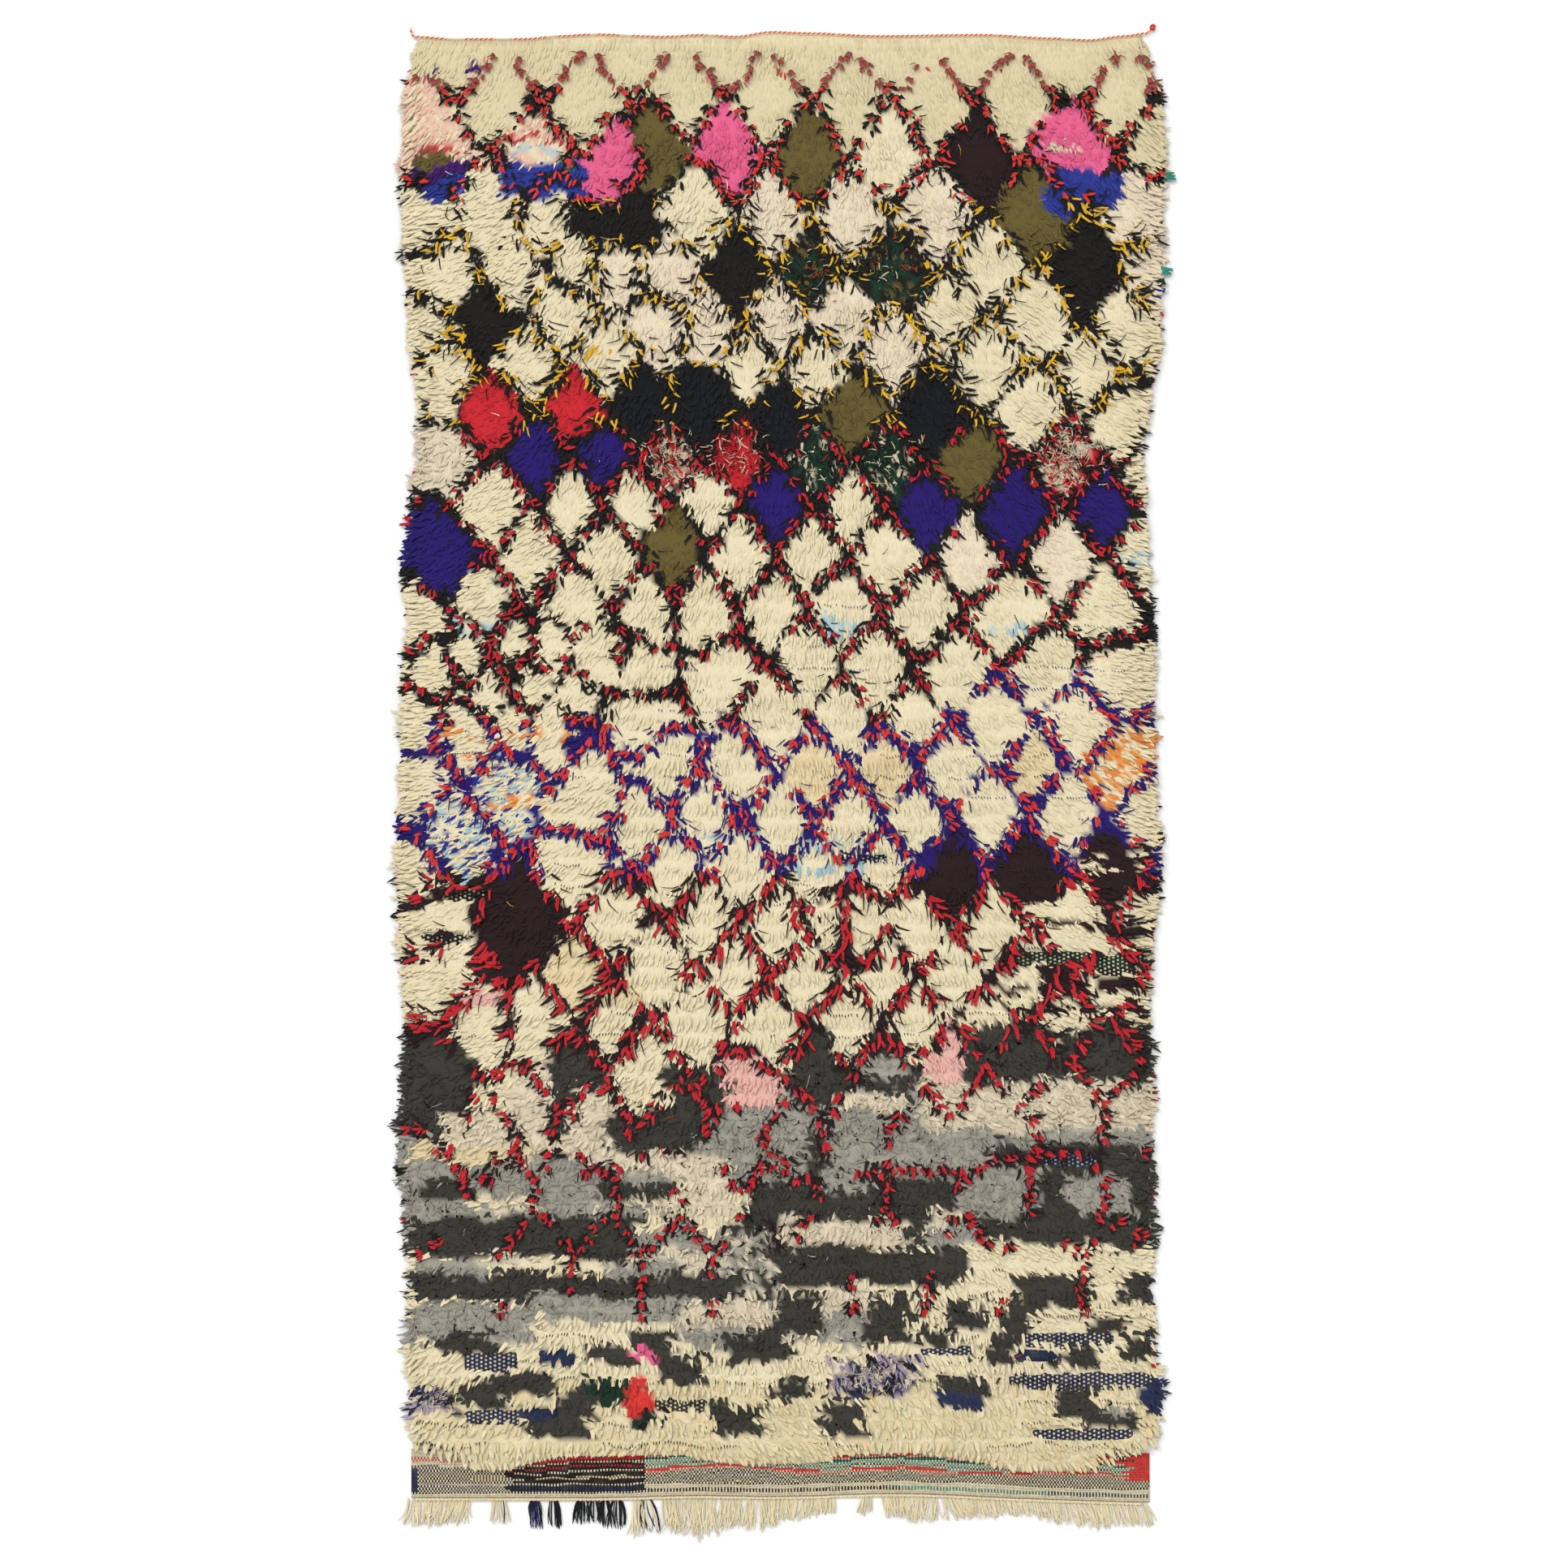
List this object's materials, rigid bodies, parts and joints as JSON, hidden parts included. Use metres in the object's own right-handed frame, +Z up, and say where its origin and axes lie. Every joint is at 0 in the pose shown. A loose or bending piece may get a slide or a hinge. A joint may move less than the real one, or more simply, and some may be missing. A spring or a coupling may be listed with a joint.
{
  "type": "boucherouite rug",
  "caption": "Flat shaggy knotted rag rug with rows of lozenges, uneven sides with standing locks, a flat-woven end, a twined cord along its heading and a short warp fringe at its foot.",
  "frame": {"origin": "on the floor under the middle of the rug, locks, fringe and cord included", "axes": "+X across the rug towards its right side, +Y along its length towards the heading, +Z up out of the pile"},
  "size_m": [1.3446, 2.5778, 0.0246],
  "materials": {
    "knotted_pile": "matte",
    "warp_yarn": "matte",
    "heading_twine": "matte",
    "ground_weave": "matte",
    "cream_yarn": "matte",
    "beige_yarn": "matte",
    "black_yarn": "matte",
    "charcoal_yarn": "matte",
    "grey_yarn": "matte",
    "red_yarn": "matte",
    "pink_yarn": "matte",
    "violet_yarn": "matte",
    "blue_yarn": "matte",
    "olive_yarn": "matte",
    "green_yarn": "matte",
    "yellow_yarn": "matte",
    "orange_yarn": "matte",
    "teal_yarn": "matte"
  },
  "bodies": {
    "root": {"rug_field": "knotted_pile", "warp_fringe": "warp_yarn", "heading_cord": "heading_twine"}
  },
  "joints": []
}
